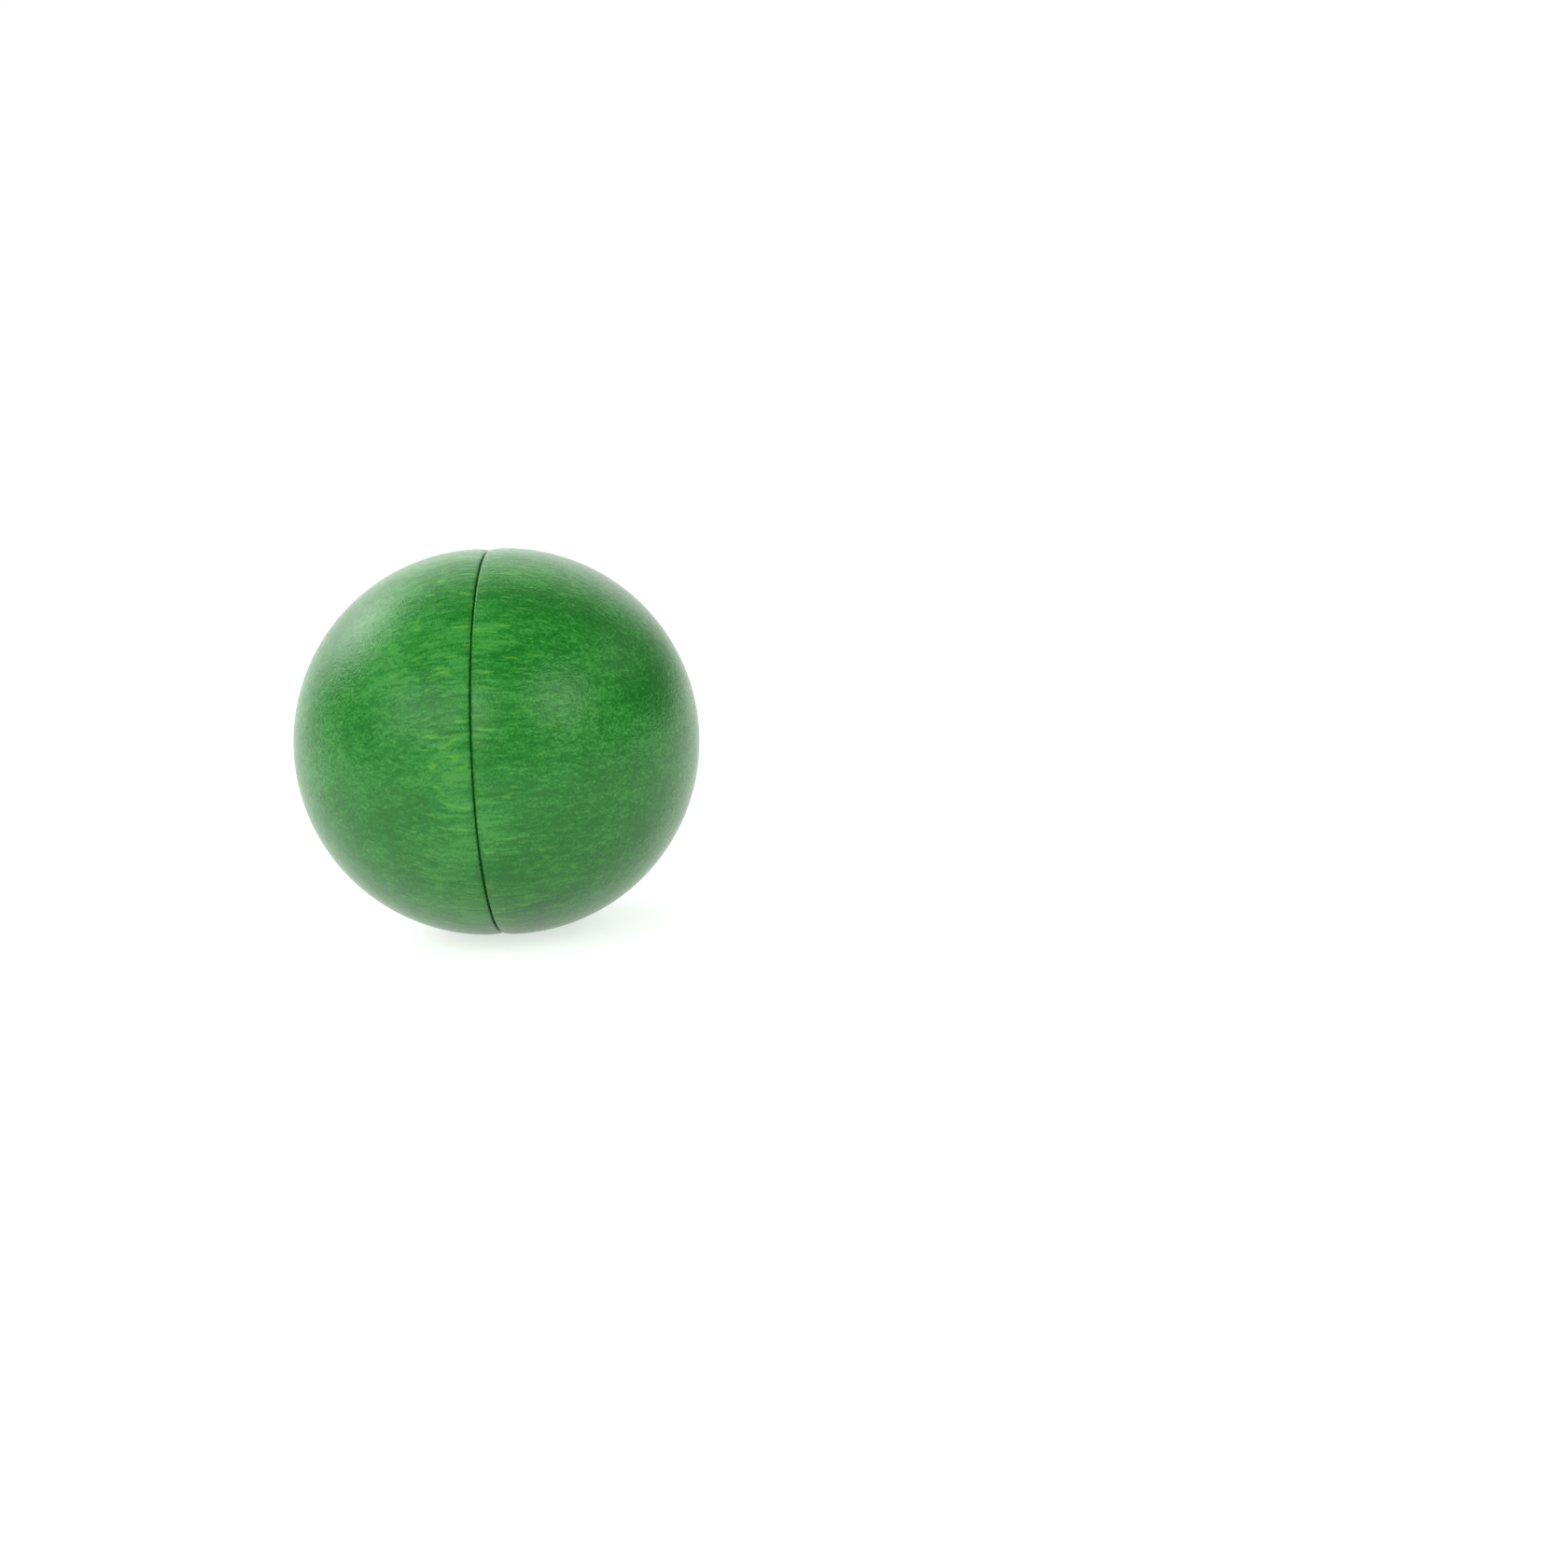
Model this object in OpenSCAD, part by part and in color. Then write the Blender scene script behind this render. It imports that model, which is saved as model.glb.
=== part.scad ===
// Wooden ball turned as two solid halves and glued together across its middle.
// The turning axis lies along X, the joint plane is YZ, and the origin is the ball's centre.
// Each half is a dome with a short straight band beside the joint, so that the glued
// ball measures a little more along its axis than across it.

/* [Ball] */
// Diameter across the joint
ball_d = 60; // [50:1:90]
// Width of the straight band beside the joint on each half
band_w = 1.5; // [0.9:0.1:3]

/* [Joint line] */
// Radius of the sanded edge round each half's rim
rim_edge_r = 0.4; // [0.2:0.05:0.7]
// Width of the fine shadow gap between the two rims
rim_gap_w = 0.15; // [0.05:0.05:0.4]
// Depth of the shadow gap below the surface
rim_gap_depth = 1.2; // [0.8:0.1:2.5]

/* [Spigot and recess] */
// Diameter of the spigot turned on the first half
spigot_d = 24; // [12:1:30]
// Length of the spigot
spigot_l = 10; // [5:0.5:14]
// Glue clearance all round the spigot
glue_gap = 0.1; // [0.05:0.05:0.2]
// Space left for glue past the spigot's end
glue_pocket = 0.5; // [0.2:0.1:1]
// Chamfer on the spigot's end and at the mouth of the recess
lead_in = 0.8; // [0.3:0.1:1.5]

/* [Hidden] */
$fn = 192;
ball_r = ball_d / 2;
spigot_r = spigot_d / 2;
recess_r = spigot_r + glue_gap;
recess_l = spigot_l + glue_pocket;
half_gap = rim_gap_w / 2;
// Cutters reach this far past the surfaces that they open
past = 1;

// Section of one half before its rim is worked: radius along x, distance from the joint along y
module dome_section() {
    square([ball_r, band_w]);
    translate([0, band_w]) intersection() {
        circle(r = ball_r);
        square(ball_r);
    }
}

// Cuts the rim back from the joint plane, which leaves half of the shadow gap
module rim_gap_cutter() {
    translate([ball_r - rim_gap_depth, -past]) square([rim_gap_depth + past, half_gap + past]);
}

// Rounds the rim's outer edge with a quarter circle
module rim_edge_cutter() {
    translate([ball_r - rim_edge_r, half_gap + rim_edge_r]) difference() {
        translate([0, -rim_edge_r - past]) square(rim_edge_r + past);
        circle(r = rim_edge_r);
    }
}

module half_section() {
    difference() {
        dome_section();
        rim_gap_cutter();
        rim_edge_cutter();
    }
}

// Half section of the round spigot, with its end chamfered to lead it in
module spigot_section() {
    polygon([
        [0, 0],
        [spigot_r, 0],
        [spigot_r, spigot_l - lead_in],
        [spigot_r - lead_in, spigot_l],
        [0, spigot_l]
    ]);
}

// Half section of the recess that takes the spigot, flared at its mouth
module recess_section() {
    polygon([
        [0, -past],
        [recess_r + lead_in + past, -past],
        [recess_r, lead_in],
        [recess_r, recess_l],
        [0, recess_l]
    ]);
}

// Turns a section about X, with the joint plane at x = 0 and the distances from it along +X
module turned() {
    rotate([0, 90, 0]) rotate_extrude() children();
}

module spigot_half() {
    color("#2f8f3c") {
        mirror([1, 0, 0]) turned() half_section();
        turned() spigot_section();
    }
}

module socket_half() {
    color("#2a8638") difference() {
        turned() half_section();
        turned() recess_section();
    }
}

spigot_half();
socket_half();
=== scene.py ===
import math

import bpy
from mathutils import Matrix, Vector


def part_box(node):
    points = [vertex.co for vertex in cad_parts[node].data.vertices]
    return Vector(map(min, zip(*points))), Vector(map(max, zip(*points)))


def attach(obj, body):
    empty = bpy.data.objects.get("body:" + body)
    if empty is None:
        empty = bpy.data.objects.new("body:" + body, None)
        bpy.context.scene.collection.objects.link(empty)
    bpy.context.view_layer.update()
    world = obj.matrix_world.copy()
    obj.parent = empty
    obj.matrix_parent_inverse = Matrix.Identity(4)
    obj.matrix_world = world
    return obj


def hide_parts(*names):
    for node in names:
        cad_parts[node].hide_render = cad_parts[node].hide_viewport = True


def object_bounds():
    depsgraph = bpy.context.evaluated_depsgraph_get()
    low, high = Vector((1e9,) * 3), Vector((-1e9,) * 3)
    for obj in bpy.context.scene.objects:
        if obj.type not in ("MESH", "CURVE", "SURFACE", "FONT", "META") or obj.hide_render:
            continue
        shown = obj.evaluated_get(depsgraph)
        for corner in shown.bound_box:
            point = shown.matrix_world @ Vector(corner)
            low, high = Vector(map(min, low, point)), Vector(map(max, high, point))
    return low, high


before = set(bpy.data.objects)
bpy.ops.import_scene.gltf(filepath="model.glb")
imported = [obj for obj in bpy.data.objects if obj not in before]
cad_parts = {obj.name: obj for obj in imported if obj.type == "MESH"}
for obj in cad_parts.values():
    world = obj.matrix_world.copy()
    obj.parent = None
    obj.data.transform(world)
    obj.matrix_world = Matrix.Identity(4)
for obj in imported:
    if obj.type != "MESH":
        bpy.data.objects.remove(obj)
cadBox = [list(corner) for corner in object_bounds()]
mm = 0.001
noiseMiddle = 0.5                                       # mean of a noise texture
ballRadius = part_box("socket_half")[1].z                 # across the joint
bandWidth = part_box("socket_half")[1].x - ballRadius     # straight stretch beside the joint
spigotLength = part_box("spigot_half")[1].x


def toLinear(hexColour, alpha=1.0):
    parts = [int(hexColour[i:i + 2], 16) / 255 for i in (1, 3, 5)]
    return [p / 12.92 if p <= 0.04045 else ((p + 0.055) / 1.055) ** 2.4 for p in parts] + [alpha]


def addNode(tree, kind, links=None, **settings):
    node = tree.nodes.new(kind)
    for name, value in settings.items():
        setattr(node, name, value)
    for socket, value in (links or {}).items():
        if isinstance(value, bpy.types.NodeSocket):
            tree.links.new(value, node.inputs[socket])
        else:
            node.inputs[socket].default_value = value
    return node


# The camera stands where the photograph's does: the ball's centre and its radius in the
# photograph's pixels give its place and distance, the joint line gives how it is turned.
shot = {
    "frameSide": 1680,      # pixels
    "focalPixels": 4159,    # focal length in the same pixels
    "ballAcross": 532.7,    # the ball's centre, from the left
    "ballDown": 794.4,      # and from the top
    "ballRadius": 206.9,    # across the joint
    "azimuth": 3.5,         # degrees from the front towards +X
    "elevation": 14.7,      # degrees above level
    "roll": 2.8,            # degrees
    "sensor": 36.0,         # mm
}


def placeCamera():
    azimuth, elevation, roll = (math.radians(shot[key]) for key in ("azimuth", "elevation", "roll"))
    level = Vector((math.cos(azimuth), math.sin(azimuth), 0))
    ahead = Vector((-math.sin(azimuth) * math.cos(elevation),
                    math.cos(azimuth) * math.cos(elevation),
                    -math.sin(elevation)))
    upright = level.cross(ahead)
    right = level * math.cos(roll) - upright * math.sin(roll)
    up = level * math.sin(roll) + upright * math.cos(roll)
    perMetre = shot["ballRadius"] / ballRadius
    distance = shot["focalPixels"] / perMetre
    across = (shot["ballAcross"] - shot["frameSide"] / 2) / perMetre
    above = (shot["frameSide"] / 2 - shot["ballDown"]) / perMetre
    data = bpy.data.cameras.new("photoCamera")
    data.sensor_width = shot["sensor"]
    data.lens = shot["sensor"] * shot["focalPixels"] / shot["frameSide"]
    camera = bpy.data.objects.new("photoCamera", data)
    bpy.context.scene.collection.objects.link(camera)
    turn = Matrix((right, up, -ahead)).transposed().to_4x4()
    place = -(right * across + up * above + ahead * distance)
    camera.matrix_world = Matrix.Translation(place) @ turn
    bpy.context.scene.camera = camera


placeCamera()
print("camera placed")


# Beech, turned and sanded, under a green water stain and a thin satin varnish. The wood drinks the
# stain unevenly, so its grain shows as fine darker and paler streaks along X, which turn to specks
# where the poles cut across the fibres. The varnish gives the broad dull sheen.
stain = {
    "tones": {                # colour, and its place on the scale from dark to pale
        "deep": ("#0d7619", 0.3),     # where the wood drank most
        "middle": ("#1f8927", 0.5),
        "bright": ("#42a03f", 0.72),
    },
    "yellow": "#6cbe42",      # ray flecks, which take little stain
    "marks": {                # mm along the grain, mm across it, share of the colour, share of the relief
        "blotches": (22.0, 10.0, 0.85, 0.0),
        "bands": (9.0, 1.2, 0.4, 0.2),
        "fibres": (5.0, 0.40, 0.95, 1.3),     # bundles of them
        "pores": (0.32, 0.30, 1.0, 1.5),      # finer in real beech, drawn coarse enough to show
    },
    "markSeedStep": 3.7,
    "ringSpacing": 2.6,       # mm
    "ringShare": 0.06,
    "ringWander": 1.6,        # mm
    "ringWaves": 0.05,        # waves of that wander in 1 mm
    "latewood": (0.5, 0.97),  # share of a ring where it starts and where it is full
    "fleckSize": (4.5, 0.9, 0.8),     # mm along the grain, towards the pith, round the rings
    "fleckEdge": (0.58, 0.76),        # noise where a fleck starts and where it is full
    "fleckFade": (5.0, 15.0),         # mm from the joint, where the surface leaves the long grain
    "fleckShare": 0.6,
    "fleckSeedStep": 21,
    "paleBand": 8.0,          # mm beside the joint that took less stain
    "paleLift": 0.09,
    "paintedRimShade": (0.3, 1.0),     # mm from the joint, where the rim is darkened: painted shade beside the gap
    "paintedRimShadeDrop": -0.08,
    "roughness": 0.22,        # satin varnish
    "roughnessSpread": 0.06,
    "reliefHeight": 0.05,     # mm
    "ior": 1.45,
}


def stainedBeech(setup):
    seed = setup["woodSeed"]
    material = bpy.data.materials.new(setup["wood"])
    material.use_nodes = True
    tree = material.node_tree
    tree.nodes.clear()
    out = addNode(tree, "ShaderNodeOutputMaterial")
    place = addNode(tree, "ShaderNodeTexCoord").outputs["Object"]
    ballPlace = addNode(tree, "ShaderNodeVectorMath", {0: place, 3: 1 / mm}, operation="SCALE").outputs[0]

    # Where a point lay in the tree: fibres along X, and the pith outside the ball
    lean = (math.radians(setup["pithBearing"]), 0, math.radians(setup["grainSlope"]))
    turned = addNode(tree, "ShaderNodeVectorRotate", {"Vector": ballPlace, "Rotation": lean},
                     rotation_type="EULER_XYZ", invert=True).outputs[0]
    wood = addNode(tree, "ShaderNodeVectorMath", {0: turned, 1: (0, setup["pithOffset"], 0)}).outputs[0]
    woodX, woodY, woodZ = addNode(tree, "ShaderNodeSeparateXYZ", {0: wood}).outputs

    # Stain marks: noise drawn out along the grain, each kind at its own real size
    middleTone = stain["tones"]["middle"][1]
    # Each half's tone lift: its stain, and on the right half also painted shade
    tone = middleTone + setup["lift"]
    relief = 0.0
    for number, (along, across, colourShare, reliefShare) in enumerate(stain["marks"].values()):
        markSeed = seed + stain["markSeedStep"] * number
        stretched = addNode(tree, "ShaderNodeVectorMath",
                            {0: wood, 1: (1 / (along * setup["fibreLength"]), 1 / across, 1 / across)},
                            operation="MULTIPLY").outputs[0]
        mark = addNode(tree, "ShaderNodeTexNoise",
                       {"Vector": stretched, "W": markSeed, "Scale": 1.0, "Detail": 2.0},
                       noise_dimensions="4D").outputs["Fac"]
        centred = addNode(tree, "ShaderNodeMath", {0: mark, 1: noiseMiddle},
                          operation="SUBTRACT").outputs[0]
        tone = addNode(tree, "ShaderNodeMath", {0: centred, 1: colourShare, 2: tone},
                       operation="MULTIPLY_ADD").outputs[0]
        relief = addNode(tree, "ShaderNodeMath", {0: centred, 1: reliefShare, 2: relief},
                         operation="MULTIPLY_ADD").outputs[0]

    # Growth rings: faint darker bands by distance from the pith
    fromPith = addNode(tree, "ShaderNodeVectorMath",
                       {0: addNode(tree, "ShaderNodeCombineXYZ", {"Y": woodY, "Z": woodZ}).outputs[0]},
                       operation="LENGTH").outputs["Value"]
    wander = addNode(tree, "ShaderNodeTexNoise",
                     {"Vector": wood, "W": seed, "Scale": stain["ringWaves"], "Detail": 1.0},
                     noise_dimensions="4D").outputs["Fac"]
    ringPlace = addNode(tree, "ShaderNodeMath", {0: wander, 1: stain["ringWander"], 2: fromPith},
                        operation="MULTIPLY_ADD").outputs[0]
    ringPhase = addNode(tree, "ShaderNodeMath", {0: ringPlace, 1: stain["ringSpacing"]},
                        operation="DIVIDE").outputs[0]
    ringPart = addNode(tree, "ShaderNodeMath", {0: ringPhase}, operation="FRACT").outputs[0]
    lateStart, lateFull = stain["latewood"]
    latewood = addNode(tree, "ShaderNodeMapRange",
                       {"Value": ringPart, "From Min": lateStart, "From Max": lateFull},
                       interpolation_type="SMOOTHSTEP").outputs[0]
    tone = addNode(tree, "ShaderNodeMath", {0: latewood, 1: -stain["ringShare"], 2: tone},
                   operation="MULTIPLY_ADD").outputs[0]

    # Beside the joint: a paler band, and a fine darker line along the rim, which is painted shade beside the
    # gap
    ballX = addNode(tree, "ShaderNodeSeparateXYZ", {0: ballPlace}).outputs["X"]
    fromJoint = addNode(tree, "ShaderNodeMath", {0: ballX}, operation="ABSOLUTE").outputs[0]
    pale = addNode(tree, "ShaderNodeMapRange",
                   {"Value": fromJoint, "From Min": stain["paleBand"], "From Max": 0.0,
                    "To Max": stain["paleLift"]}, interpolation_type="SMOOTHSTEP").outputs[0]
    # Painted shade: the rim is darkened where it turns into the gap
    paintedRimShadeEnd, paintedRimShadeStart = stain["paintedRimShade"]
    paintedRimShade = addNode(tree, "ShaderNodeMapRange",
                     {"Value": fromJoint, "From Min": paintedRimShadeStart, "From Max": paintedRimShadeEnd,
                      "To Max": stain["paintedRimShadeDrop"]}, interpolation_type="SMOOTHSTEP").outputs[0]
    tone = addNode(tree, "ShaderNodeMath", {0: tone, 1: pale}, operation="ADD").outputs[0]
    tone = addNode(tree, "ShaderNodeMath", {0: tone, 1: paintedRimShade}, operation="ADD").outputs[0]
    ramp = addNode(tree, "ShaderNodeValToRGB", {0: tone})
    stops = ramp.color_ramp.elements
    stops.new(middleTone)
    for stop, (hexColour, spot) in zip(stops, stain["tones"].values()):
        stop.position = spot
        stop.color = toLinear(hexColour)

    # Ray flecks: short thin streaks along the grain, laid out by ring and bearing
    bearing = addNode(tree, "ShaderNodeMath", {0: woodZ, 1: woodY}, operation="ARCTAN2").outputs[0]
    roundRing = addNode(tree, "ShaderNodeMath", {0: bearing, 1: setup["pithOffset"]},
                        operation="MULTIPLY").outputs[0]
    ringSpace = addNode(tree, "ShaderNodeCombineXYZ", {"X": woodX, "Y": fromPith, "Z": roundRing}).outputs[0]
    fleckSpace = addNode(tree, "ShaderNodeVectorMath",
                         {0: ringSpace, 1: [1 / size for size in stain["fleckSize"]]},
                         operation="MULTIPLY").outputs[0]
    fleckSeed = seed + stain["fleckSeedStep"]
    fleckNoise = addNode(tree, "ShaderNodeTexNoise",
                         {"Vector": fleckSpace, "W": fleckSeed, "Scale": 1.0, "Detail": 1.0},
                         noise_dimensions="4D").outputs["Fac"]
    fleckStart, fleckFull = stain["fleckEdge"]
    fleck = addNode(tree, "ShaderNodeMapRange",
                    {"Value": fleckNoise, "From Min": fleckStart, "From Max": fleckFull,
                     "To Max": stain["fleckShare"]}, interpolation_type="SMOOTHSTEP").outputs[0]
    fadeStart, fadeEnd = stain["fleckFade"]
    onLongGrain = addNode(tree, "ShaderNodeMapRange",
                          {"Value": fromJoint, "From Min": fadeEnd, "From Max": fadeStart}).outputs[0]
    fleck = addNode(tree, "ShaderNodeMath", {0: fleck, 1: onLongGrain}, operation="MULTIPLY").outputs[0]
    colour = addNode(tree, "ShaderNodeMix",
                     {0: fleck, 6: ramp.outputs["Color"], 7: toLinear(stain["yellow"])},
                     data_type="RGBA").outputs[2]

    # Varnish that follows the grain, so that the sheen breaks up a little over it
    bump = addNode(tree, "ShaderNodeBump",
                   {"Strength": 1.0, "Distance": stain["reliefHeight"] * mm, "Height": relief}).outputs[0]
    roughness = addNode(tree, "ShaderNodeMath",
                        {0: relief, 1: stain["roughnessSpread"], 2: stain["roughness"]},
                        operation="MULTIPLY_ADD").outputs[0]
    surface = addNode(tree, "ShaderNodeBsdfPrincipled",
                      {"Base Color": colour, "Roughness": roughness, "IOR": stain["ior"],
                       "Normal": bump})
    tree.links.new(surface.outputs[0], out.inputs["Surface"])
    return material


# A half of the ball as the lathe leaves it. The section runs from the pole over the dome and the
# band, round the rim's eased edge, down the shadow gap, along the joint face and over the core.
turning = {
    "Ball Radius": ballRadius,
    "Band Width": bandWidth,
    "Rim Edge Radius": 0.4 * mm,
    "Half Gap": 0.075 * mm,
    "Gap Depth": 1.2 * mm,
    "Steps Round": 900,
    "Dome Steps": 86,
    "Band Steps": 4,
    "Edge Steps": 9,
    "Soft Width": 2.4 * mm,       # beside the joint, where sanding rolled the surface off
    "Soft Drop": 0.24 * mm,
    "Grain Height": 0.008 * mm,   # raised grain left after the water stain
    "Sanding Height": 0.05 * mm,  # slow waviness from hand sanding
}
cornerCount = 7                   # from the floor of the gap down to the axis
grainWaves = (0.25, 1.6, 1.6)     # waves of raised grain in 1 mm along X, Y and Z
sandingWaves = 0.09               # waves of sanding in 1 mm
mergeWithin = 0.002 * mm          # closes the poles, and the seam where the last step meets the first
crispAngle = math.radians(35)     # sharper edges than this keep a crisp line
spigotRadius = 12.0 * mm
glueGap = 0.1 * mm                # all round the spigot
gluePocket = 0.5 * mm             # past its end
leadIn = 0.8 * mm                 # chamfer on the spigot's end and at the mouth of the recess
cores = {                         # length is minus into the half, flare is minus where the end narrows
    "spigot_half": {
        "Core Radius": spigotRadius,
        "Core Length": spigotLength,
        "Core Flare": -leadIn,
    },
    "socket_half": {
        "Core Radius": spigotRadius + glueGap,
        "Core Length": -(spigotLength + gluePocket),
        "Core Flare": leadIn,
    },
}


def turnedHalfTree():
    tree = bpy.data.node_groups.new("turnedHalf", "GeometryNodeTree")
    lengths = ("Ball Radius", "Band Width", "Rim Edge Radius", "Half Gap", "Gap Depth", "Core Radius",
               "Core Length", "Core Flare", "Soft Width", "Soft Drop", "Grain Height", "Sanding Height",
               "Half Turn")
    for name in lengths:
        tree.interface.new_socket(name, in_out="INPUT", socket_type="NodeSocketFloat")
    for name in ("Steps Round", "Dome Steps", "Band Steps", "Edge Steps", "Seed"):
        tree.interface.new_socket(name, in_out="INPUT", socket_type="NodeSocketInt")
    tree.interface.new_socket("Wood", in_out="INPUT", socket_type="NodeSocketMaterial")
    tree.interface.new_socket("Half", in_out="OUTPUT", socket_type="NodeSocketGeometry")
    size = addNode(tree, "NodeGroupInput").outputs

    # Which point of the section, and which step round the axis, each grid point is
    shell = addNode(tree, "FunctionNodeIntegerMath", {0: size["Dome Steps"], 1: size["Band Steps"]},
                    operation="ADD").outputs[0]
    curved = addNode(tree, "FunctionNodeIntegerMath", {0: shell, 1: size["Edge Steps"]},
                     operation="ADD").outputs[0]
    sectionPoints = addNode(tree, "FunctionNodeIntegerMath", {0: curved, 1: cornerCount},
                            operation="ADD").outputs[0]
    columns = addNode(tree, "FunctionNodeIntegerMath", {0: size["Steps Round"], 1: 1},
                      operation="ADD").outputs[0]
    grid = addNode(tree, "GeometryNodeMeshGrid",
                   {"Vertices X": columns, "Vertices Y": sectionPoints}).outputs["Mesh"]
    index = addNode(tree, "GeometryNodeInputIndex").outputs[0]
    along = addNode(tree, "FunctionNodeIntegerMath", {0: index, 1: sectionPoints},
                    operation="MODULO").outputs[0]
    column = addNode(tree, "FunctionNodeIntegerMath", {0: index, 1: sectionPoints},
                     operation="DIVIDE_FLOOR").outputs[0]

    # Dome: a quarter circle about the band's end, from the pole to the band. Its centre then slides
    # along the axis to draw the band itself.
    lastDome = addNode(tree, "ShaderNodeMath", {0: size["Dome Steps"], 1: 1.0},
                       operation="SUBTRACT").outputs[0]
    domeTurn = addNode(tree, "ShaderNodeMapRange",
                       {"Value": along, "From Max": lastDome, "To Max": math.pi / 2}).outputs[0]
    domeArm = addNode(tree, "ShaderNodeCombineXYZ", {"X": size["Ball Radius"]}).outputs[0]
    domeArc = addNode(tree, "ShaderNodeVectorRotate", {"Vector": domeArm, "Angle": domeTurn},
                      rotation_type="Z_AXIS").outputs[0]
    edgeX = addNode(tree, "ShaderNodeMath", {0: size["Half Gap"], 1: size["Rim Edge Radius"]},
                    operation="ADD").outputs[0]
    centreX = addNode(tree, "ShaderNodeMapRange",
                      {"Value": along, "From Min": lastDome, "From Max": shell,
                       "To Min": size["Band Width"], "To Max": edgeX}).outputs[0]
    domeCentre = addNode(tree, "ShaderNodeCombineXYZ", {"X": centreX}).outputs[0]
    dome = addNode(tree, "ShaderNodeVectorMath", {0: domeArc, 1: domeCentre}).outputs[0]

    # Eased edge: a small quarter circle from the band to the wall of the gap
    onEdge = addNode(tree, "ShaderNodeMath", {0: along, 1: shell}, operation="SUBTRACT").outputs[0]
    lastEdge = addNode(tree, "ShaderNodeMath", {0: size["Edge Steps"], 1: 1.0},
                       operation="SUBTRACT").outputs[0]
    edgeTurn = addNode(tree, "ShaderNodeMapRange",
                       {"Value": onEdge, "From Max": lastEdge, "To Min": math.pi / 2,
                        "To Max": math.pi}).outputs[0]
    edgeArm = addNode(tree, "ShaderNodeCombineXYZ", {"X": size["Rim Edge Radius"]}).outputs[0]
    edgeArc = addNode(tree, "ShaderNodeVectorRotate", {"Vector": edgeArm, "Angle": edgeTurn},
                      rotation_type="Z_AXIS").outputs[0]
    edgeY = addNode(tree, "ShaderNodeMath", {0: size["Ball Radius"], 1: size["Rim Edge Radius"]},
                    operation="SUBTRACT").outputs[0]
    edgeCentre = addNode(tree, "ShaderNodeCombineXYZ", {"X": edgeX, "Y": edgeY}).outputs[0]
    edge = addNode(tree, "ShaderNodeVectorMath", {0: edgeArc, 1: edgeCentre}).outputs[0]

    # Corners of the shadow gap, the joint face and the core, in order down to the axis
    gapFloor = addNode(tree, "ShaderNodeMath", {0: size["Ball Radius"], 1: size["Gap Depth"]},
                       operation="SUBTRACT").outputs[0]
    coreEnd = addNode(tree, "ShaderNodeMath", {0: size["Core Length"], 1: -1.0},
                      operation="MULTIPLY").outputs[0]
    mouthFlare = addNode(tree, "ShaderNodeMath", {0: size["Core Flare"], 1: 0.0},
                         operation="MAXIMUM").outputs[0]
    endFlare = addNode(tree, "ShaderNodeMath", {0: size["Core Flare"], 1: 0.0},
                       operation="MINIMUM").outputs[0]
    mouthRadius = addNode(tree, "ShaderNodeMath", {0: size["Core Radius"], 1: mouthFlare},
                          operation="ADD").outputs[0]
    endRadius = addNode(tree, "ShaderNodeMath", {0: size["Core Radius"], 1: endFlare},
                        operation="ADD").outputs[0]
    beforeEnd = addNode(tree, "ShaderNodeMath", {0: coreEnd, 1: endFlare}, operation="SUBTRACT").outputs[0]
    corners = addNode(tree, "GeometryNodeIndexSwitch", data_type="VECTOR")
    while len(corners.index_switch_items) < cornerCount:
        corners.index_switch_items.new()
    onCorner = addNode(tree, "FunctionNodeIntegerMath", {0: along, 1: curved},
                       operation="SUBTRACT").outputs[0]
    tree.links.new(onCorner, corners.inputs["Index"])
    cornerPlaces = (
        {"X": size["Half Gap"], "Y": gapFloor},
        {"Y": gapFloor},
        {"Y": mouthRadius},
        {"X": mouthFlare, "Y": size["Core Radius"]},
        {"X": beforeEnd, "Y": size["Core Radius"]},
        {"X": coreEnd, "Y": endRadius},
        {"X": coreEnd},
    )
    for number, spot in enumerate(cornerPlaces):
        corner = addNode(tree, "ShaderNodeCombineXYZ", spot).outputs[0]
        tree.links.new(corner, corners.inputs[number + 1])

    # Choose the stretch, then turn the section point about the X axis
    isShell = addNode(tree, "FunctionNodeCompare", {2: along, 3: shell},
                      data_type="INT", operation="LESS_THAN").outputs[0]
    isOutside = addNode(tree, "FunctionNodeCompare", {2: along, 3: curved},
                        data_type="INT", operation="LESS_THAN").outputs[0]
    afterShell = addNode(tree, "GeometryNodeSwitch",
                         {"Switch": isOutside, "False": corners.outputs[0], "True": edge},
                         input_type="VECTOR").outputs[0]
    section = addNode(tree, "GeometryNodeSwitch", {"Switch": isShell, "False": afterShell, "True": dome},
                      input_type="VECTOR").outputs[0]
    roundTurn = addNode(tree, "ShaderNodeMapRange",
                        {"Value": column, "From Max": size["Steps Round"], "To Max": 2 * math.pi}).outputs[0]
    lathed = addNode(tree, "ShaderNodeVectorRotate", {"Vector": section, "Angle": roundTurn},
                     rotation_type="X_AXIS").outputs[0]

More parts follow.
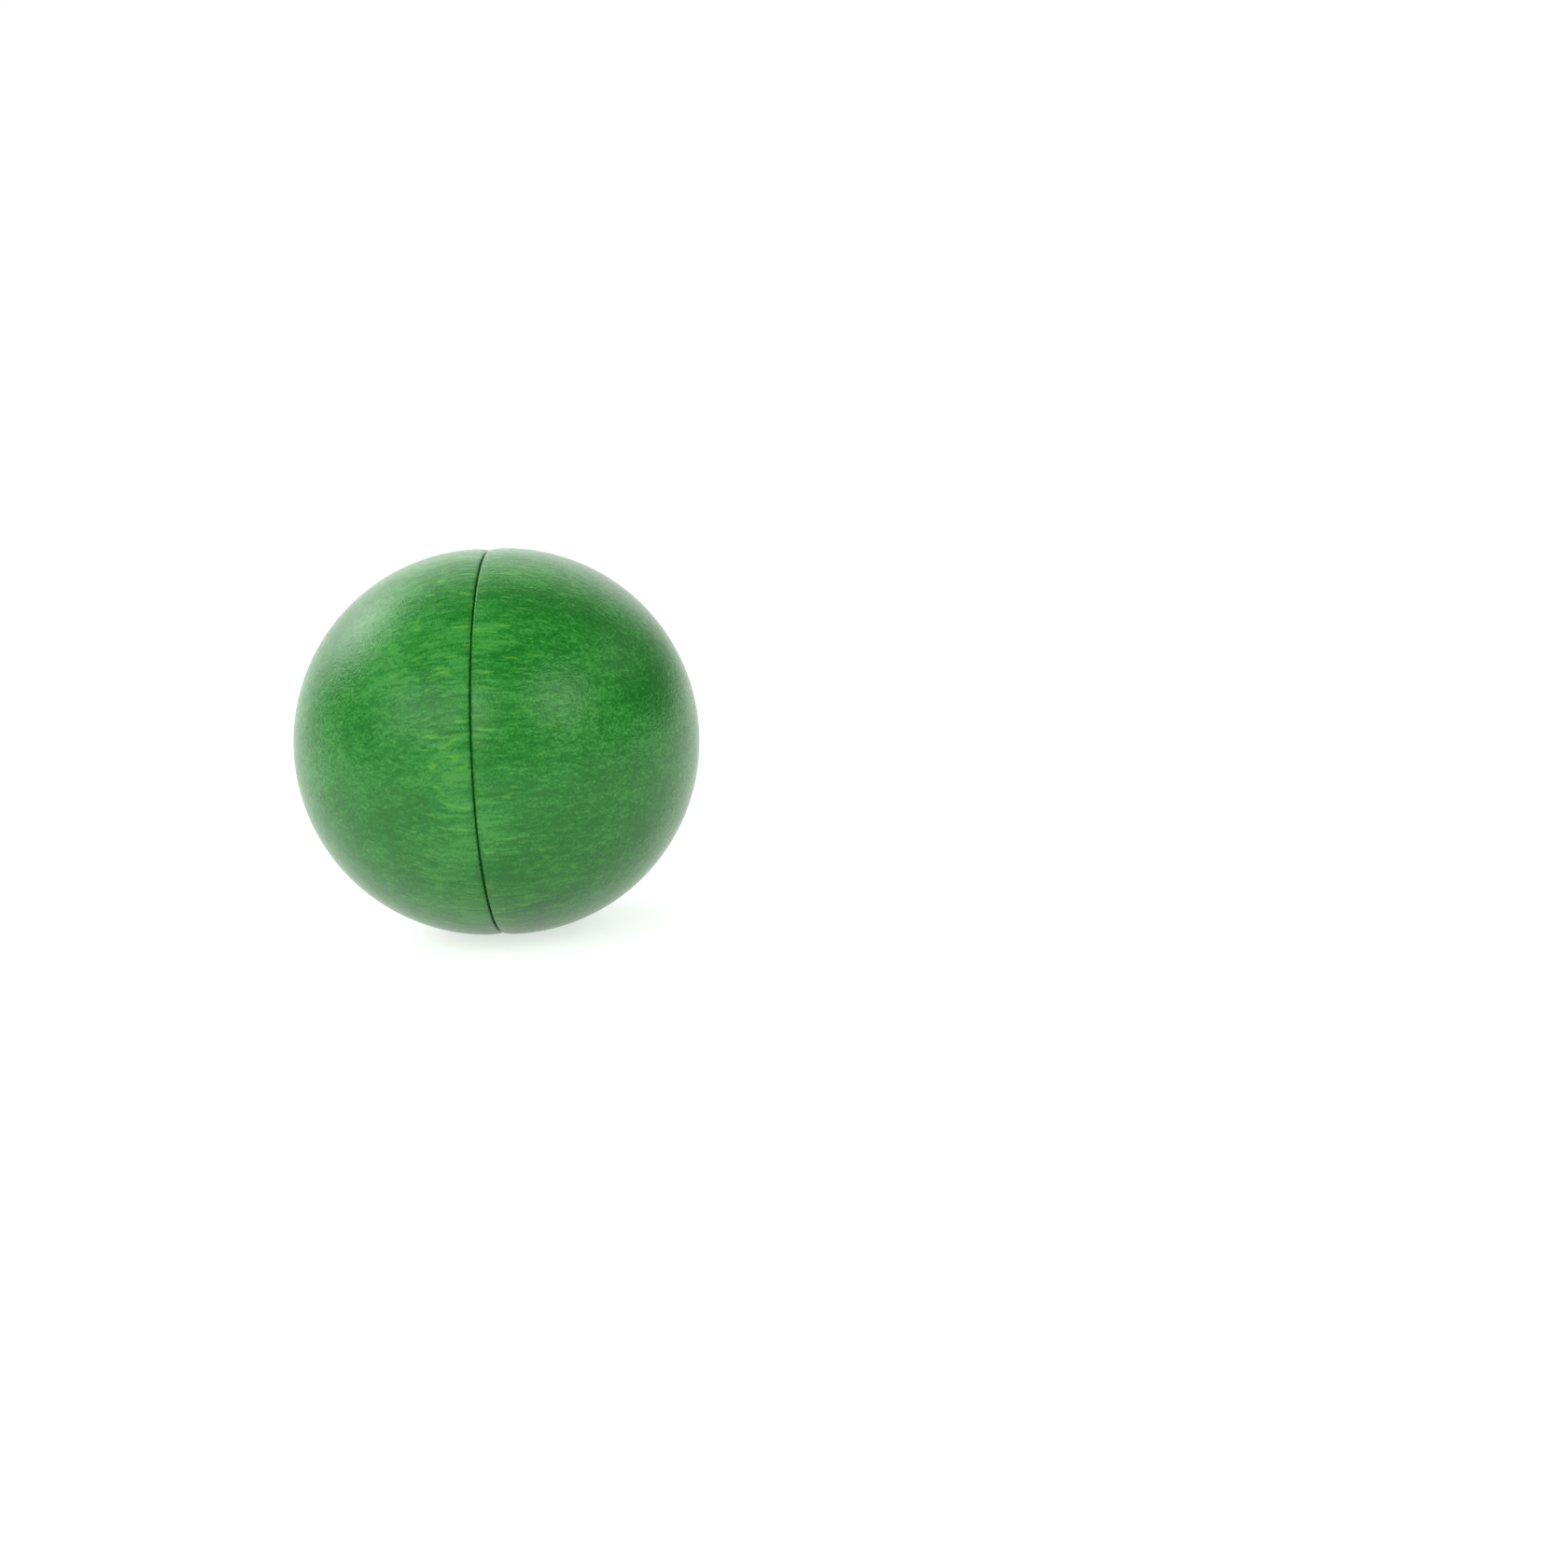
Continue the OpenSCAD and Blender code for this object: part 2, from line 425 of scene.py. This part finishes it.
    # Raised grain, sanding marks and the rolled-off rim lower the outside a little, never past the
    # true surface
    ballPlace = addNode(tree, "ShaderNodeVectorMath", {0: lathed, 3: 1 / mm}, operation="SCALE").outputs[0]
    grainSpace = addNode(tree, "ShaderNodeVectorMath", {0: ballPlace, 1: grainWaves},
                         operation="MULTIPLY").outputs[0]
    grain = addNode(tree, "ShaderNodeTexNoise",
                    {"Vector": grainSpace, "W": size["Seed"], "Scale": 1.0, "Detail": 2.0},
                    noise_dimensions="4D").outputs["Fac"]
    sanding = addNode(tree, "ShaderNodeTexNoise",
                      {"Vector": ballPlace, "W": size["Seed"], "Scale": sandingWaves, "Detail": 1.0},
                      noise_dimensions="4D").outputs["Fac"]
    grainDepth = addNode(tree, "ShaderNodeMath", {0: grain, 1: size["Grain Height"]},
                         operation="MULTIPLY").outputs[0]
    depth = addNode(tree, "ShaderNodeMath", {0: sanding, 1: size["Sanding Height"], 2: grainDepth},
                    operation="MULTIPLY_ADD").outputs[0]
    fromJoint = addNode(tree, "ShaderNodeSeparateXYZ", {0: lathed}).outputs["X"]
    nearJoint = addNode(tree, "ShaderNodeMapRange",
                        {"Value": fromJoint, "From Min": size["Soft Width"], "From Max": 0.0}).outputs[0]
    rolled = addNode(tree, "ShaderNodeMath", {0: nearJoint, 1: 2.0}, operation="POWER").outputs[0]
    depth = addNode(tree, "ShaderNodeMath", {0: rolled, 1: size["Soft Drop"], 2: depth},
                    operation="MULTIPLY_ADD").outputs[0]
    outsideDepth = addNode(tree, "GeometryNodeSwitch", {"Switch": isOutside, "True": depth},
                           input_type="FLOAT").outputs[0]
    fromCentre = addNode(tree, "ShaderNodeVectorMath", {0: lathed, 1: domeCentre},
                         operation="SUBTRACT").outputs[0]
    outward = addNode(tree, "ShaderNodeVectorMath", {0: fromCentre}, operation="NORMALIZE").outputs[0]
    inward = addNode(tree, "ShaderNodeVectorMath", {0: outward, 3: outsideDepth},
                     operation="SCALE").outputs[0]
    worked = addNode(tree, "ShaderNodeVectorMath", {0: lathed, 1: inward}, operation="SUBTRACT").outputs[0]

    # The half towards -X is the same one turned about Z
    shaped = addNode(tree, "GeometryNodeSetPosition", {"Geometry": grid, "Position": worked}).outputs[0]
    turnZ = addNode(tree, "ShaderNodeCombineXYZ", {"Z": size["Half Turn"]}).outputs[0]
    faced = addNode(tree, "GeometryNodeTransform", {"Geometry": shaped, "Rotation": turnZ}).outputs[0]
    closed = addNode(tree, "GeometryNodeMergeByDistance",
                     {"Geometry": faced, "Distance": mergeWithin}).outputs[0]
    smooth = addNode(tree, "GeometryNodeSetShadeSmooth",
                     {"Geometry": closed, "Shade Smooth": True}).outputs[0]
    angle = addNode(tree, "GeometryNodeInputMeshEdgeAngle").outputs["Unsigned Angle"]
    isCorner = addNode(tree, "FunctionNodeCompare", {0: angle, 1: crispAngle},
                       data_type="FLOAT", operation="GREATER_THAN").outputs[0]
    crisp = addNode(tree, "GeometryNodeSetShadeSmooth",
                    {"Geometry": smooth, "Selection": isCorner, "Shade Smooth": False},
                    domain="EDGE").outputs[0]
    real = addNode(tree, "GeometryNodeRealizeInstances", {"Geometry": crisp}).outputs[0]
    dressed = addNode(tree, "GeometryNodeSetMaterial",
                      {"Geometry": real, "Material": size["Wood"]}).outputs[0]
    addNode(tree, "NodeGroupOutput", {0: dressed})
    return tree


halfTree = turnedHalfTree()

# Each half was cut from its own piece of wood, so its grain doesn't run on across the joint
halves = {
    "leftHalf": {
        "node": "spigot_half",
        "wood": "stainedBeechLeft",
        "pithOffset": 46.0,       # mm from the ball's centre to the pith of the tree
        "pithBearing": 38,        # degrees round X
        "grainSlope": 8,          # degrees between the fibres and X
        "fibreLength": 0.6,       # of the lengths in the stain's marks
        "lift": 0.0,              # paler than the plain stain, or darker where minus; holds the half's own stain and painted shade
        "woodSeed": 65.0,
        "halfTurn": math.pi,
        "shapeSeed": 4,
    },
    "rightHalf": {
        "node": "socket_half",
        "wood": "stainedBeechRight",
        "pithOffset": 58.0,
        "pithBearing": -75,
        "grainSlope": -2,
        "fibreLength": 1.0,
        # Darker: partly the stain this half took, partly painted shade on the side away from the light
        "lift": -0.04,
        "woodSeed": 102.0,
        "halfTurn": 0.0,
        "shapeSeed": 7,
    },
}


def turnHalf(name, setup):
    node = setup["node"]
    values = dict(turning, **cores[node])
    values.update({"Half Turn": setup["halfTurn"], "Seed": setup["shapeSeed"], "Wood": stainedBeech(setup)})
    half = bpy.data.objects.new(name, bpy.data.meshes.new(name))
    bpy.context.scene.collection.objects.link(half)
    modifier = half.modifiers.new("turnedHalf", "NODES")
    modifier.node_group = halfTree
    for item in halfTree.interface.items_tree:
        if item.in_out == "INPUT":
            modifier[item.identifier] = values[item.name]
    evaluated = half.evaluated_get(bpy.context.evaluated_depsgraph_get())
    mesh = bpy.data.meshes.new_from_object(evaluated)
    half.modifiers.clear()
    half.data = mesh
    mesh.name = name
    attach(half, "root")
    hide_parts(node)
    print(name, "turned:", len(mesh.polygons), "faces")


for name, setup in halves.items():
    turnHalf(name, setup)


# Plain pale studio: a white floor and a white room, with softboxes behind, at the side and in front.
# The room lights the ball more from the left. What the varnish mirrors of the room is bright low at
# the back, and dim overhead and in front.
studio = {
    "floorSide": 40.0,        # metres
    "floorWhite": "#dadada",
    "floorGlow": 0.66,        # the floor's own light where it is seen or mirrored, which makes it white
    "roomRight": 0.3,         # light of the room from the right
    "roomLeft": 0.7,          # and from the left
    "mirroredBright": 1.0,
    "mirroredDim": 0.2,
    "brightSide": (-0.30, 0.94, 0.17),
    "brightAt": 1.15,         # cosine of the angle to the bright side, past 1 so that it stays short of full
    "dimAt": 0.2,
    "boxDistance": 1.6,       # metres from the ball's centre
}
softboxes = {                 # degrees from the back to the right, degrees up, metres wide and tall, watts
    "back": (-18, 27, 2.85, 1.55, 8.6),
    "backLeft": (-57, 31, 0.90, 0.58, 5.2),
    "frontLeft": (-148, 30, 1.75, 0.85, 9.3),
    "frontRight": (134, 33, 0.95, 0.72, 5.2),
    "right": (77, 34, 0.50, 0.35, 0.8),
}


def layFloor():
    mesh = bpy.data.meshes.new("studioFloor")
    reach = studio["floorSide"] / 2
    level = cadBox[0][2]
    corners = [(-reach, -reach, level), (reach, -reach, level), (reach, reach, level), (-reach, reach, level)]
    mesh.from_pydata(corners, [], [(0, 1, 2, 3)])
    floor = bpy.data.objects.new("studioFloor", mesh)
    bpy.context.scene.collection.objects.link(floor)
    material = bpy.data.materials.new("paleFloor")
    material.use_nodes = True
    tree = material.node_tree
    tree.nodes.clear()
    rays = addNode(tree, "ShaderNodeLightPath").outputs
    mirrored = addNode(tree, "ShaderNodeMath", {0: rays["Is Glossy Ray"], 1: rays["Is Transmission Ray"]},
                       operation="MAXIMUM").outputs[0]
    seen = addNode(tree, "ShaderNodeMath", {0: rays["Is Camera Ray"], 1: mirrored},
                   operation="MAXIMUM").outputs[0]
    glow = addNode(tree, "ShaderNodeMath", {0: seen, 1: studio["floorGlow"]},
                   operation="MULTIPLY").outputs[0]
    paper = addNode(tree, "ShaderNodeBsdfDiffuse", {"Color": toLinear(studio["floorWhite"])}).outputs[0]
    light = addNode(tree, "ShaderNodeEmission", {"Strength": glow}).outputs[0]
    both = addNode(tree, "ShaderNodeAddShader", {0: paper, 1: light}).outputs[0]
    addNode(tree, "ShaderNodeOutputMaterial", {"Surface": both})
    mesh.materials.append(material)


def lightRoom():
    world = bpy.data.worlds.new("studioRoom")
    world.use_nodes = True
    tree = world.node_tree
    tree.nodes.clear()
    rays = addNode(tree, "ShaderNodeLightPath").outputs
    mirrored = addNode(tree, "ShaderNodeMath", {0: rays["Is Glossy Ray"], 1: rays["Is Transmission Ray"]},
                       operation="MAXIMUM").outputs[0]
    direction = addNode(tree, "ShaderNodeTexCoord").outputs["Generated"]
    bright = Vector(studio["brightSide"]).normalized()
    lean = addNode(tree, "ShaderNodeVectorMath", {0: direction, 1: bright},
                   operation="DOT_PRODUCT").outputs["Value"]
    room = addNode(tree, "ShaderNodeMapRange",
                   {"Value": lean, "From Min": studio["dimAt"], "From Max": studio["brightAt"],
                    "To Min": studio["mirroredDim"], "To Max": studio["mirroredBright"]},
                   interpolation_type="SMOOTHSTEP").outputs[0]
    across = addNode(tree, "ShaderNodeSeparateXYZ", {0: direction}).outputs["X"]
    plain = addNode(tree, "ShaderNodeMapRange",
                    {"Value": across, "From Min": -1.0, "To Min": studio["roomLeft"],
                     "To Max": studio["roomRight"]}).outputs[0]
    unseen = addNode(tree, "ShaderNodeMix", {0: mirrored, 2: plain, 3: room}).outputs[0]
    strength = addNode(tree, "ShaderNodeMix", {0: rays["Is Camera Ray"], 2: unseen, 3: 1.0}).outputs[0]
    sky = addNode(tree, "ShaderNodeBackground", {"Color": (1, 1, 1, 1), "Strength": strength}).outputs[0]
    addNode(tree, "ShaderNodeOutputWorld", {"Surface": sky})
    bpy.context.scene.world = world


def hangSoftbox(name, bearing, height, width, tall, watts):
    turn = math.radians(bearing)
    tilt = math.radians(height)
    towards = Vector((math.sin(turn) * math.cos(tilt), math.cos(turn) * math.cos(tilt), math.sin(tilt)))
    place = towards * studio["boxDistance"]
    data = bpy.data.lights.new(name, "AREA")
    data.shape = "RECTANGLE"
    data.size = width
    data.size_y = tall
    data.energy = watts
    lamp = bpy.data.objects.new(name, data)
    bpy.context.scene.collection.objects.link(lamp)
    facing = (-place).to_track_quat("-Z", "Y").to_matrix().to_4x4()
    lamp.matrix_world = Matrix.Translation(place) @ facing
    lamp.visible_camera = False


layFloor()
lightRoom()
for name, setup in softboxes.items():
    hangSoftbox(name, *setup)
bpy.context.scene.view_settings.view_transform = "Standard"

print("studio ready")
